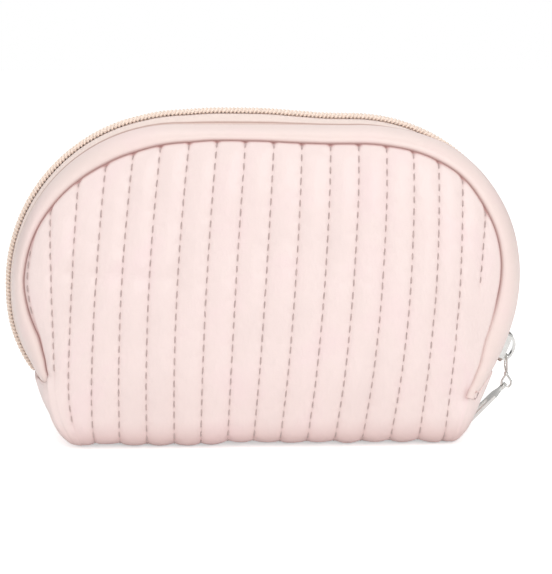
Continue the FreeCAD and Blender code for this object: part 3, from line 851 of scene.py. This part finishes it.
def quilt_half(side, seed):
    P, UV, CH, DD, REG, faces, N, inv, grids = build_shell(side)
    q = puff(CH, DD, UV[:, 1], seed, P[:, 2])
    fade = np.where(REG == 2, np.clip(1 - (np.abs(CH - np.where(CH > 10, A_R, A_L)) / 0.45), 0, 1), 1.0)
    plain = 0.35 * (REG == 2) * (1 - fade) * pillow(DD)
    q = q * fade + plain
    # the seam's own edge stays put, so that the strip meets it
    q = q * (1 - np.exp(-(DD / 0.35) ** 2)) - 0.35 * np.exp(-(DD / 0.6) ** 2) * (REG != 2)
    base = P.copy()
    wob = fbm(P[:, 0], P[:, 2], seed, 62) * 0.55 + fbm(P[:, 0] * 1.5, P[:, 2], seed + 3, 30) * 0.22
    if side < 0:
        # where the hand has pressed the padding, the face dips a little
        wob = wob - 0.35 * np.exp(-((P[:, 0] + 20) / 26) ** 2 - ((P[:, 2] - 80) / 22) ** 2) + 0.3 * np.exp(-((P[:, 0] - 30) / 24) ** 2 - ((P[:, 2] - 55) / 26) ** 2)
        # soft creases that the padding shows across its channels
        wob = wob - 0.9 * np.exp(-((P[:, 2] - 68 + 0.06 * (P[:, 0] + 70)) / 3.4) ** 2) * smooth(P[:, 0], -22, -50) * smooth(P[:, 0], -92, -78)
        wob = wob - 0.45 * np.exp(-(((P[:, 2] - 20) - 1.25 * (P[:, 0] + 80)) / 4.0) ** 2) * smooth(P[:, 0], -70, -77) * smooth(P[:, 2], 6, 14)
        wob = wob - 0.5 * np.exp(-((P[:, 2] - 42 - 0.1 * P[:, 0]) / 5) ** 2) * smooth(P[:, 0], 50, 70)
    wob = wob * pillow(DD) * (P[:, 1] > 20)
    out = P + N * (q + wob)[:, None]
    gA, chA = grids[0][1], grids[0][2][0]
    nr, nc = gA.shape[:2]
    w = inv[:nr * nc].reshape(nr, nc)
    ri = np.unique(np.concatenate([np.arange(0, N1 + N2 + NR + 1, 3), [N1 + N2 + NR]]))
    even = (np.abs(chA * 6 - np.round(chA * 6)) < 1e-3)
    even[0] = even[-1] = True
    ci = np.where(even)[0]
    G = out[w[np.ix_(ri, ci)]]
    z = P[w[np.ix_(ri, ci)], 2]
    ch = np.tile(chA[ci][None], (len(ri), 1))
    pin = (np.abs(ch - np.round(ch)) < 0.02) & (line_strength(np.round(ch), z) > 0.4)
    pin[0, :] = pin[-1, :] = pin[:, 0] = pin[:, -1] = True
    pin[-2, :] = True
    D = settle(G, pin)
    D = spread(D, ri, ci, nr, nc)
    D *= (1 - np.exp(-(DD[w] / 3.0) ** 2))[..., None]
    move = np.zeros_like(out)
    move[w.ravel()[: (N1 + N2 + NR + 1) * nc]] = D[: N1 + N2 + NR + 1].reshape(-1, 3)
    out = out + move
    out[:, 2] = np.maximum(out[:, 2], 0.06)
    mirror = np.array([1, side, 1.0])
    vf = stitch_depth(CH) * 11.2
    # painted shade: the stitch valleys and the seam's crevice are painted darker, with dark gaps where each valley runs
    # under the seam
    painted_shade = 0.13 * np.exp(-(vf / 0.9) ** 2) * (REG != 2) * line_strength(np.round(CH), P[:, 2])
    painted_shade = painted_shade + (0.95 * np.exp(-(DD / 0.7) ** 2) + 0.9 * np.exp(-(DD / 1.7) ** 2) * np.exp(-(vf / 0.8) ** 2)) * (REG != 2)
    # the painted seam shade is made fainter at the lower right
    faint = smooth(P[:, 0], 55, 70) * smooth(P[:, 2], 56, 42)
    painted_shade = painted_shade * (1 - 0.7 * faint)
    # painted shadow in the tuck at the right-hand end of the seam
    painted_shade = painted_shade + 0.5 * np.exp(-(((P[:, 0] - PR[0]) / 1.6) ** 2 + ((P[:, 2] - PR[1] - 1.5) / 2.6) ** 2)) * (REG != 2)
    # painted shade: darker towards the underside, where the padding curves away from the light
    painted_shade = painted_shade + 0.42 * smooth(P[:, 2], 13, 1.5)
    painted_shade = np.clip(painted_shade, 0, 1)
    if side < 0:
        faces = [f[::-1] for f in faces]
    WELD[side] = (inv, grids)
    return P * mirror, out * mirror, UV, painted_shade, faces, N * mirror, CH, DD, REG, q + wob


def stitches(name, lines, mat, length=2.9, pitch=4.3, r=0.27, sink=0.05, seed=1):
    """Separate thread stitches along polylines. lines: list of (points, normals)."""
    rs = np.random.default_rng(seed)
    P, F, UV = [], [], []
    base = 0
    ring, seg = 6, 6
    for pts, nrm in lines:
        d = np.concatenate([[0], np.cumsum(np.linalg.norm(np.diff(pts, axis=0), axis=1))])
        n = int((d[-1] - 1.0) / pitch)
        for k in range(n):
            jit = rs.normal(0, 0.10)
            s0 = 0.9 + k * pitch + jit
            L = length * (1 + rs.normal(0, 0.05))
            ss = s0 + np.linspace(0, L, seg + 1)
            if ss[-1] > d[-1]:
                break
            c = np.stack([np.interp(ss, d, pts[:, i]) for i in range(3)], 1)
            nn = np.stack([np.interp(ss, d, nrm[:, i]) for i in range(3)], 1)
            nn /= np.linalg.norm(nn, axis=1, keepdims=True)
            t = np.gradient(c, axis=0)
            t /= np.linalg.norm(t, axis=1, keepdims=True)
            b = np.cross(t, nn)
            f = np.linspace(0, 1, seg + 1)
            # ends dive into the needle holes
            lift = (r - sink) - (1.15 * r) * (2 * np.abs(f - 0.5)) ** 3.5
            rr = r * (1 - 0.55 * (2 * np.abs(f - 0.5)) ** 6)
            skew = rs.normal(0, 0.06)
            for i in range(seg + 1):
                for j in range(ring):
                    a = 2 * math.pi * j / ring
                    P.append(c[i] + nn[i] * (lift[i] + 0.85 * rr[i] * math.sin(a)) + b[i] * (rr[i] * math.cos(a) + skew * (f[i] - 0.5)))
                    UV.append((j * 0.28, ss[i]))
            for i in range(seg):
                for j in range(ring):
                    j2 = (j + 1) % ring
                    F.append([base + i * ring + j, base + i * ring + j2, base + (i + 1) * ring + j2, base + (i + 1) * ring + j])
            F.append([base + j for j in reversed(range(ring))])
            F.append([base + seg * ring + j for j in range(ring)])
            base += (seg + 1) * ring
    ob = make_mesh(name, np.array(P), F, uv=np.array(UV), painted_shade=np.zeros(len(P)), mat=mat)
    return ob


for side, tag, seed in ((-1, "front", 3), (1, "rear", 8)):
    P0, P1, UV, painted_shade, faces, N, CH, DD, REG, disp = quilt_half(side, seed)
    if side < 0:
        Nf = N
    Pc, Fc, UVc, Tc = closed(P1, faces, N, 1.9 + np.clip(disp, -0.5, 3) * 0.55, UV, painted_shade)
    ob = make_mesh(tag + "_quilted_skin", Pc, Fc, UVc, Tc, M_QUILT)
    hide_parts(tag + "_panel", tag + "_padding")
    if side < 0:
        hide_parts("base_panel", "base_padding", "left_end_tab", "right_end_tab")
    to_body(ob)
    # lining inside
    inner = P0 - N * 3.6
    # painted shade: the lining is painted darker within a few millimetres of the seam
    Pl, Fl, UVl, Tl = closed(inner, faces, N, 0.35, UV, np.clip(np.exp(-(DD / 4) ** 2) * 0.4, 0, 1))
    li = make_mesh(tag + "_lining_cloth", Pl, Fl, UVl, Tl, M_LINING)
    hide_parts(tag + "_lining")
    if side < 0:
        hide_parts("base_lining", "left_end_tab_lining", "right_end_tab_lining")
    to_body(li)
    # stitches in the valleys
    lines = []
    for a in range(1, 19):
        m = (np.abs(CH - a) < 1e-3) & (REG != 2)
        if m.sum() < 10:
            if a != 1:
                continue
            m = (np.abs(CH - 1.0) < 0.021) & (REG == 1)
        pts, nn, vv = P1[m], N[m], UV[m, 1]
        o = np.argsort(vv)
        pts, nn, vv = pts[o], nn[o], vv[o]
        if a == 1 and len(pts) < 10:
            continue
        ok = line_strength(float(a), pts[:, 2]) > (0.2 if a == 1 else 0.45)
        pts, nn = pts[ok], nn[ok]
        if len(pts) < 4:
            continue
        keep = np.concatenate([[True], np.linalg.norm(np.diff(pts, axis=0), axis=1) > 1e-6])
        lines.append((pts[keep], nn[keep]))
    st = stitches(tag + "_quilting_stitches", lines, M_THREAD, seed=seed)
    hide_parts(tag + "_quilting_thread")
    to_body(st)
    SHELL[tag] = (P0, P1, UV, faces, N)


# ---------------------------------------------------------------- the gusset strip, tape, lining, binding
def band_mesh(name, P, mat, painted_shade=None, closed_loop=True):
    """Mesh of a grid of stations x outline points, the outline closed and the ends capped."""
    nS, nP = P.shape[:2]
    idx = np.arange(nS * nP).reshape(nS, nP)
    F = []
    for i in range(nS - 1):
        for k in range(nP if closed_loop else nP - 1):
            k2 = (k + 1) % nP
            F.append([idx[i, k], idx[i, k2], idx[i + 1, k2], idx[i + 1, k]])
    if closed_loop:
        F.append(list(idx[0][::-1]))
        F.append(list(idx[-1]))
    s = np.zeros(nS)
    s[1:] = np.cumsum(np.linalg.norm(np.diff(P[:, 0], axis=0), axis=1))
    v = np.zeros((nS, nP))
    v[:, 1:] = np.cumsum(np.linalg.norm(np.diff(P, axis=1), axis=2), 1)
    uv = np.stack([v, np.repeat(s[:, None], nP, 1)], -1).reshape(-1, 2)
    flat = P.reshape(-1, 3)
    # outward winding
    c = flat.mean(0)
    f = F[(nS // 2) * (nP if closed_loop else nP - 1)]
    ob = make_mesh(name, flat, F, uv=uv, painted_shade=(np.zeros(len(flat)) if painted_shade is None else painted_shade.ravel()), mat=mat)
    import bmesh
    bm = bmesh.new()
    bm.from_mesh(ob.data)
    # stations past a band's own end fall on one point: leave no faces of no area
    bmesh.ops.remove_doubles(bm, verts=bm.verts, dist=3e-6)
    bmesh.ops.recalc_face_normals(bm, faces=bm.faces)
    bm.to_mesh(ob.data)
    bm.free()
    return ob


STN = np.concatenate([np.linspace(END - 13.5, END + 14, 66), np.linspace(END + 14.6, UEND - 14.6, 300), np.linspace(UEND - 14, UEND + 4.8, 50)])


def strip_grid(side):
    # each outline point: its t on the outer surface, and how far inside it lies in depth and height
    prof = [(t, 0.0, 0.0) for t in STRIP_T]
    prof += [(1.0, -0.55, -0.12), (1.0, -0.82, -0.45), (1.0, -0.70, -0.95)]
    prof += [(t, 0.1, -1.15) for t in STRIP_T[::-1][:9]]
    prof += [(STRIP_T[4], -1.0, -1.1), (0.0, -1.6, -1.2)]
    nP = len(prof)
    P = np.zeros((len(STN), nP, 3))
    over = 3.0
    r = fbm(STN * 1.15, np.zeros_like(STN), 21 + side, 40) * 0.25
    r = r * smooth(STN, END - 6.0, END + 4.0) * smooth(STN, UEND + 3.0, UEND - 6.0)
    for k, (t, dy, dn) in enumerate(prof):
        U0 = np.full(2, END)
        for _ in range(6):
            y0, _n = strip_point(np.array([U0[0], 240 - U0[1]]), t)
            U0 = np.array([run_out(y0[0], RUN_R), run_out(y0[1], RUN_L)])
        r0, r1 = U0[0] - over, 240 - U0[1] + over
        Uk = np.clip(STN, r0, r1)
        y, n = strip_point(Uk, t)
        under = np.clip((r0 + over - 0.2 - Uk) / 2.2, 0, 1) + np.clip((Uk - (r1 - over + 0.2)) / 2.2, 0, 1)
        y = y + dy - 2.6 * under ** 1.2
        n = n + dn - 3.6 * under ** 1.2
        if k < 17:
            y = y + r * math.sin(math.pi * k / 16)
        pk, nk = arch(Uk)
        P[:, k, 0] = pk[:, 0] + nk[:, 0] * n
        P[:, k, 2] = pk[:, 1] + nk[:, 1] * n
        P[:, k, 1] = y * side
    return P


for side, tag in ((-1, "front"), (1, "rear")):
    P = strip_grid(side)
    # painted shade: the strip's first row is painted dark as the seam's crevice, and the rows at the fold's edge and
    # under it are painted dark where the strip turns under
    painted_shade = np.zeros(P.shape[:2])
    # painted shade: the dark line painted along the seam is made fainter at the lower right
    calm = 1 - 0.7 * smooth(STN, 2.0, -14.0)      # the seam grows faint at the lower right
    painted_shade[:, 0] = 0.95 * calm
    painted_shade[:, 1] = 0.12 * calm
    painted_shade[:, 2] = 0.0
    painted_shade[:, 15] = 0.35
    painted_shade[:, 16] = 0.9
    painted_shade[:, 17] = 0.9
    painted_shade[:, 18] = 0.9
    painted_shade[:, 19:] = 0.8
    # the painted shade lightens past the strip's ends
    painted_shade *= (smooth(STN, END - 9.5, END - 5.0) * smooth(STN, UEND + 1.5, UEND - 1.5))[:, None] * 0.85 + 0.15
    ob = band_mesh(tag + "_gusset_skin", P, M_STRIP, painted_shade)
    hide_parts(tag + "_gusset_strip")
    to_body(ob)
    # tape: slopes from the coil down under the strip's fold
    st = np.linspace(END + 0.2, UEND - 0.2, 420)
    p, n = arch(st)
    lift, nf = lift_of(st), fold_of(st)
    ys = [0.95, 1.8, 2.9, 3.4, 4.0, 5.2, 7.2, 9.0, 9.6, 9.9, 10.2, 10.5, 11.0, 12.6, 13.8]
    T = np.zeros((len(st), 2 * len(ys), 3))
    tt = np.zeros((len(st), 2 * len(ys)))
    for k, y in enumerate(ys):
        f = max(0, (y - 5.0) / (12.4 - 5.0))
        nn = lerp(-1.4 + lift, np.minimum(nf - 0.85, -1.4 + lift), f ** 1.1) + 0.2 * math.sin(math.pi * min(1, f))
        for kk, off in ((k, 0.0), (2 * len(ys) - 1 - k, -0.5)):
            T[:, kk, 0] = p[:, 0] + n[:, 0] * (nn + off)
            T[:, kk, 2] = p[:, 1] + n[:, 1] * (nn + off)
            T[:, kk, 1] = y * side
    # painted shade: a dark line on the tape under the strip's fold edge, and a darker tone where the tape runs in under
    # the strip
    for k, y in enumerate(ys):
        v_ = 0.95 * math.exp(-((y - 10.15) / 0.42) ** 2) + 0.35 * smooth(y, 10.2, 12.0) 
        tt[:, k] = v_
        tt[:, 2 * len(ys) - 1 - k] = v_
    tp = band_mesh(tag + "_zip_tape", T, M_TAPE, tt)
    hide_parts(tag + "_zipper_tape")
    to_body(tp)
    # gusset lining and binding, seen when the bag is open
    G = np.zeros((len(st), 12, 3))
    for k in range(6):
        f = k / 5
        y = lerp(FOLD_Y - 1.0, 21.0, f)
        nn = lerp(nf - 2.2, -inset_of(st) - 1.6, f ** 1.4)
        for kk, off in ((k, 0.0), (11 - k, -0.4)):
            G[:, kk, 0] = p[:, 0] + n[:, 0] * (nn + off)
            G[:, kk, 2] = p[:, 1] + n[:, 1] * (nn + off)
            G[:, kk, 1] = y * side
    gl = band_mesh(tag + "_gusset_lining_cloth", G, M_LINING)
    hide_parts(tag + "_gusset_lining")
    to_body(gl)
    Bn = np.zeros((len(st), 10, 3))
    for k in range(10):
        w = 2 * math.pi * k / 10
        y = 20.3 + 1.9 * math.cos(w) * 1.0
        nn = -inset_of(st) - 3.2 + 0.75 * math.sin(w)
        Bn[:, k, 0] = p[:, 0] + n[:, 0] * nn
        Bn[:, k, 2] = p[:, 1] + n[:, 1] * nn
        Bn[:, k, 1] = y * side
    bn = band_mesh(tag + "_seam_binding_tape", Bn, M_BIND)
    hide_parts(tag + "_seam_binding")
    to_body(bn)


# ---------------------------------------------------------------- the nylon coil
def coil(side):
    pitch, r = 1.5, 0.42
    L0, L1 = float(arch_length(END + 0.6)), float(arch_length(UEND - 0.6))
    turns = int((L1 - L0) / pitch)
    seg = 16
    ring = 7
    Us = np.linspace(END, UEND, 4000)
    Ls = arch_length(Us)
    t = np.arange(turns * seg + 1) / seg
    half = 0.5 if side > 0 else 0.0
    s = L0 + (t + half) * pitch
    w = 2 * math.pi * (t - np.floor(t))
    # a flattened loop: its head reaches across the middle, its legs lie one over the other
    y = 1.32 - 1.68 * np.cos(w)
    n = -0.28 + lift_of(np.interp(s, Ls, Us)) + 0.82 * np.sign(np.sin(w)) * np.abs(np.sin(w)) ** 0.55
    ds = 0.36 * np.sin(w) + 0.22 * np.cos(w)
    U = np.interp(s + ds * side, Ls, Us)
    # inside the slider and below it the two rows stand a little apart
    apart = 0.85 * smooth(U, END + 9.5, END + 5.0)
    p, nn = arch(U)
    c = np.stack([p[:, 0] + nn[:, 0] * n, (y + apart) * side, p[:, 1] + nn[:, 1] * n], 1)
    tan = np.gradient(c, axis=0)
    tan /= np.linalg.norm(tan, axis=1, keepdims=True)
    ref = np.stack([nn[:, 0], np.zeros(len(nn)), nn[:, 1]], 1)
    b = np.cross(tan, ref)
    b /= np.maximum(np.linalg.norm(b, axis=1, keepdims=True), 1e-9)
    u = np.cross(b, tan)
    # keep the frame from flipping
    for i in range(1, len(b)):
        if b[i] @ b[i - 1] < 0:
            b[i], u[i] = -b[i], -u[i]
    ang = np.arange(ring) * 2 * math.pi / ring
    head = 1 + 0.28 * np.exp(-((np.cos(w) - 1) / 0.25) ** 2)
    P = c[:, None] + (b[:, None] * np.cos(ang)[None, :, None] + u[:, None] * np.sin(ang)[None, :, None]) * (r * head)[:, None, None]
    return P


for side, tag in ((-1, "front"), (1, "rear")):
    P = coil(side)
    ob = band_mesh(tag + "_nylon_coil", P, M_COIL)
    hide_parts(tag + "_zipper_coil")
    to_body(ob)

# the cord that runs inside each coil
for side, tag in ((-1, "front"), (1, "rear")):
    U = np.linspace(END + 0.8, UEND - 0.8, 520)
    p, n = arch(U)
    apart = 0.85 * smooth(U, END + 9.5, END + 5.0)
    C_ = np.zeros((len(U), 10, 3))
    for k in range(10):
        w = 2 * math.pi * k / 10
        h = -0.28 + lift_of(U) + 0.80 * math.sin(w)
        C_[:, k, 0] = p[:, 0] + n[:, 0] * h
        C_[:, k, 2] = p[:, 1] + n[:, 1] * h
        C_[:, k, 1] = (1.52 + 1.30 * math.cos(w) + apart) * side
    ob = band_mesh(tag + "_coil_filler_cord", C_, M_CORD)
    to_body(ob)

# sewing that holds each coil to its tape: a row of short stitches beside the coil
for side, tag in ((-1, "front"), (1, "rear")):
    U = np.linspace(END + 0.5, UEND - 0.5, 1600)
    p, n = arch(U)
    h = -1.3 + lift_of(U)
    pts = np.stack([p[:, 0] + n[:, 0] * h, np.full(len(U), 3.15 * side), p[:, 1] + n[:, 1] * h], 1)
    nr = np.stack([n[:, 0], np.zeros(len(U)), n[:, 1]], 1)
    ob = stitches(tag + "_coil_sewing", [(pts, nr)], M_SEAMTHREAD, length=1.0, pitch=1.5, r=0.16, seed=5)
    to_body(ob)

# ---------------------------------------------------------------- cross seams at the zip's ends
for side, tag in ((-1, "front"), (1, "rear")):
    P0, P1, UV, faces, N = SHELL[tag]
    inv, grids = WELD[side]
    lines, base = [], 0
    for name, g, _, _ in grids:
        nr, nc = g.shape[:2]
        if name == "C":
            idx = inv[base + np.arange(nr * nc)].reshape(nr, nc)
            d = np.linalg.norm(P1[idx[1:40, nc - 1]] - P1[idx[0, nc - 1]], axis=1)
            r = 1 + int(np.argmin(np.abs(d - 2.6)))
            row = idx[r][np.abs(P1[idx[r], 1]) < 13.2]
            pts, nn = P1[row], N[row]
            lines.append((pts[::-1], nn[::-1]))
        base += nr * nc
    ob = stitches(tag + "_end_cross_stitching", lines, M_SEAMTHREAD, length=2.2, pitch=3.0, r=0.2, seed=9)
    if side < 0:
        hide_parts("end_seam_thread")
    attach(ob, "base")

# ---------------------------------------------------------------- metal parts carried over from the CAD
for name, mat in (("slider_body", M_METAL), ("slider_cap", M_METAL), ("slider_lock_spring", M_SPRING), ("pull_link", M_METAL), ("pull_plate", M_METAL)):
    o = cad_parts[name]
    o.data.materials.clear()
    o.data.materials.append(mat)
    if name in ("pull_plate", "slider_body", "slider_cap"):
        bv = o.modifiers.new("soft_edges", "BEVEL")
        bv.width = 0.00022
        bv.segments = 2
        bv.limit_method = "ANGLE"
        bv.angle_limit = rad(40)

# ---------------------------------------------------------------- stage, light and camera
bpy.ops.mesh.primitive_plane_add(size=8.0, location=(0, 0, -0.0002))
floor = bpy.context.object
floor.name = "floor"
fm, fnt, fb = new_material("pale_floor")
fb.inputs["Base Color"].default_value = (0.92, 0.92, 0.92, 1)
fb.inputs["Roughness"].default_value = 0.9
f_path = fnt.nodes.new("ShaderNodeLightPath")
fb.inputs["Emission Color"].default_value = (1, 1, 1, 1)
fnt.links.new(math_node(fnt, "MULTIPLY", f_path.outputs["Is Camera Ray"], 0.5), fb.inputs["Emission Strength"])
floor.data.materials.append(fm)

world = bpy.data.worlds.new("studio")
bpy.context.scene.world = world
world.use_nodes = True
wt = world.node_tree
wt.nodes.clear()
w_out = wt.nodes.new("ShaderNodeOutputWorld")
w_room = wt.nodes.new("ShaderNodeBackground")
w_back = wt.nodes.new("ShaderNodeBackground")
w_mix = wt.nodes.new("ShaderNodeMixShader")
w_path = wt.nodes.new("ShaderNodeLightPath")
w_co = wt.nodes.new("ShaderNodeTexCoord")
w_sep = wt.nodes.new("ShaderNodeSeparateXYZ")
wt.links.new(w_co.outputs["Generated"], w_sep.inputs[0])
w_h = math_node(wt, "ADD", math_node(wt, "MULTIPLY", w_sep.outputs[2], 0.5), 0.5)
w_r = ramp(wt, w_h, [(0.0, (0.5,) * 3), (0.46, (0.50,) * 3), (0.52, (0.52,) * 3), (0.60, (0.80,) * 3), (0.70, (0.98,) * 3), (1.0, (1.0, 1.0, 1.0))])
w_g = ramp(wt, w_h, [(0.0, (0.85,) * 3), (0.40, (0.80,) * 3), (0.455, (0.08,) * 3), (0.53, (0.12,) * 3), (0.60, (0.85,) * 3), (1.0, (1.0, 1.0, 1.0))])
wt.links.new(mix(wt, w_r.outputs[0], w_g.outputs[0], w_path.outputs["Is Glossy Ray"]), w_room.inputs[0])
w_room.inputs[1].default_value = 0.70
w_back.inputs[0].default_value = (1, 1, 1, 1)
w_back.inputs[1].default_value = 1.0
wt.links.new(w_path.outputs["Is Camera Ray"], w_mix.inputs[0])
wt.links.new(w_room.outputs[0], w_mix.inputs[1])
wt.links.new(w_back.outputs[0], w_mix.inputs[2])
wt.links.new(w_mix.outputs[0], w_out.inputs[0])


def area(name, loc, target, size, power, color=(1, 1, 1)):
    d = bpy.data.lights.new(name, "AREA")
    d.shape = "RECTANGLE"
    d.size, d.size_y = size
    d.energy = power
    d.color = color
    o = bpy.data.objects.new(name, d)
    bpy.context.scene.collection.objects.link(o)
    o.location = loc
    o.rotation_mode = "QUATERNION"
    o.rotation_quaternion = (Vector(target) - Vector(loc)).to_track_quat("-Z", "Y")
    return o


area("key", (0.40, -1.10, 0.48), (0, 0, 0.06), (0.8, 0.6), 4.9, (1.0, 0.99, 0.98))
area("fill", (-0.9, -0.5, 0.45), (0, 0, 0.06), (0.7, 0.7), 1.2)
area("top", (0.0, 0.25, 1.1), (0, 0, 0.0), (0.9, 0.9), 2.3)

cam_data = bpy.data.cameras.new("camera")
cam = bpy.data.objects.new("camera", cam_data)
bpy.context.scene.collection.objects.link(cam)
bpy.context.scene.camera = cam
AZ_, EL_, DIST = rad(-2.5), rad(9.5), 0.65
back = Vector((math.sin(AZ_) * math.cos(EL_), -math.cos(AZ_) * math.cos(EL_), math.sin(EL_)))
right = Vector((math.cos(AZ_), math.sin(AZ_), 0))
up = back.cross(right)
PXMM = 2.536
target = Vector((0, 0, 0.060)) + right * ((276 - 264.38) / PXMM * MM) + up * (-(287 - 281.25) / PXMM * MM)
cam.location = target + back * DIST
cam.rotation_mode = "QUATERNION"
cam.rotation_quaternion = (-back).to_track_quat("-Z", "Y")
cam_data.sensor_width = 36.0
cam_data.lens = PXMM * 650.0 / 574.0 * 36.0
cam_data.clip_start, cam_data.clip_end = 0.01, 20

sc = bpy.context.scene
sc.view_settings.view_transform = "Standard"
sc.view_settings.look = "None"
sc.view_settings.exposure = 0.0
